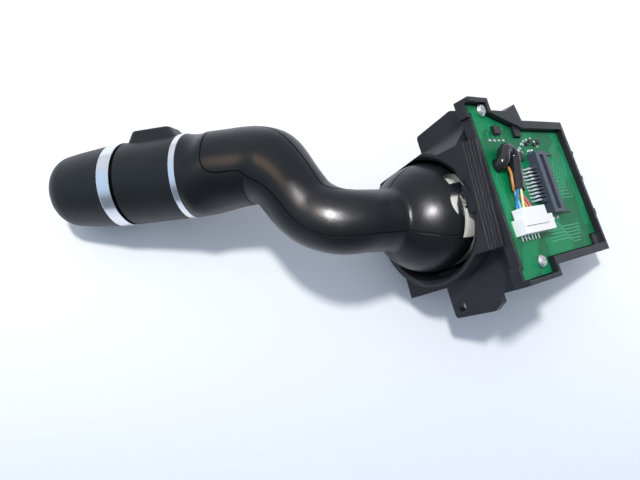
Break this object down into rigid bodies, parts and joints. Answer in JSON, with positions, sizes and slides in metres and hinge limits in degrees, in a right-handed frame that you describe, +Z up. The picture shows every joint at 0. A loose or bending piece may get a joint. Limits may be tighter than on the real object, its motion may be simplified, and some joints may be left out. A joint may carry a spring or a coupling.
{
  "type": "combination stalk switch",
  "caption": "Gooseneck lever switch with a rotary collar and a push knob, pivoting in a moulded housing that carries its circuit board and connectors.",
  "frame": {"origin": "centre of the bounding box's underside, on the bench that the switch rests on", "axes": "+Z up from the bench, +X from the end knob towards the housing, +Y across, towards the handle's side"},
  "size_m": [0.1846, 0.0908, 0.0511],
  "materials": {
    "housing": "fine moulded grain",
    "board": "solder mask",
    "screws": "satin",
    "header": "satin",
    "leads": "tinned",
    "connector": "moulded",
    "sleeve": "glossy tube",
    "wire_blue": "insulation",
    "wire_sky": "insulation",
    "wire_cream": "insulation",
    "wire_tan": "insulation",
    "wire_red": "insulation",
    "chips": "moulded package",
    "gimbal": "moulded",
    "contacts": "sprung leaf",
    "pins": "ground",
    "springs": "wire",
    "lever": "fine satin grain",
    "core": "moulded",
    "rings": "bright",
    "knob": "satin"
  },
  "bodies": {
    "housing": {"front_frame": "housing", "board_tray": "housing", "mechanism_case": "housing", "circuit_board": "board", "board_screws": "screws", "header_shell": "header", "header_leads": "leads", "lead_socket": "connector", "socket_pins": "leads", "lead_plug": "connector", "lead_sleeve": "sleeve", "lead_wire_1": "wire_blue", "lead_wire_2": "wire_sky", "lead_wire_3": "wire_cream", "lead_wire_4": "wire_tan", "lead_wire_5": "wire_red", "board_chips": "chips", "detent_block": "core", "gimbal_pins": "pins"},
    "carrier": {"gimbal_block": "gimbal", "slider_contacts": "contacts", "pull_pin": "pins", "plunger_spring": "springs"},
    "plunger": {"detent_plunger": "gimbal"},
    "lever": {"lever_lid": "lever", "lever_back_shell": "lever", "lever_core": "core", "handle_spindle": "core", "inner_trim_ring": "rings"},
    "collar": {"rotary_collar": "knob"},
    "hub": {"knob_hub": "core", "knob_spring": "springs"},
    "knob": {"end_knob": "knob", "outer_trim_ring": "rings"}
  },
  "joints": [
    {"name": "lever_turn", "type": "hinge", "parent": "housing", "child": "carrier", "pos_m": [0.02658, -0.01002, 0.0284], "axis": [0.6018, 0, 0.7986], "range_deg": [-8, 8]},
    {"name": "lever_pull", "type": "hinge", "parent": "carrier", "child": "lever", "pos_m": [0.02658, -0.01002, 0.0284], "axis": [0, 1, 0], "range_deg": [-5, 5], "stiffness_Nm_per_rad": 9},
    {"name": "collar_turn", "type": "hinge", "parent": "lever", "child": "collar", "pos_m": [-0.04332, 0.02432, 0.02602], "axis": [-0.9215, 0.209, -0.3273], "range_deg": [-25, 25]},
    {"name": "knob_turn", "type": "hinge", "parent": "lever", "child": "hub", "pos_m": [-0.04332, 0.02432, 0.02602], "axis": [-0.9215, 0.209, -0.3273], "range_deg": [0, 60]},
    {"name": "knob_push", "type": "slide", "parent": "hub", "child": "knob", "axis": [0.9215, -0.209, 0.3273], "range_m": [0, 0.001], "stiffness_N_per_m": 2000, "springref_m": -0.001},
    {"name": "plunger_slide", "type": "slide", "parent": "carrier", "child": "plunger", "axis": [-0.7986, 0, 0.6018], "range_m": [0, 0.0012], "stiffness_N_per_m": 1500, "springref_m": -0.002}
  ]
}
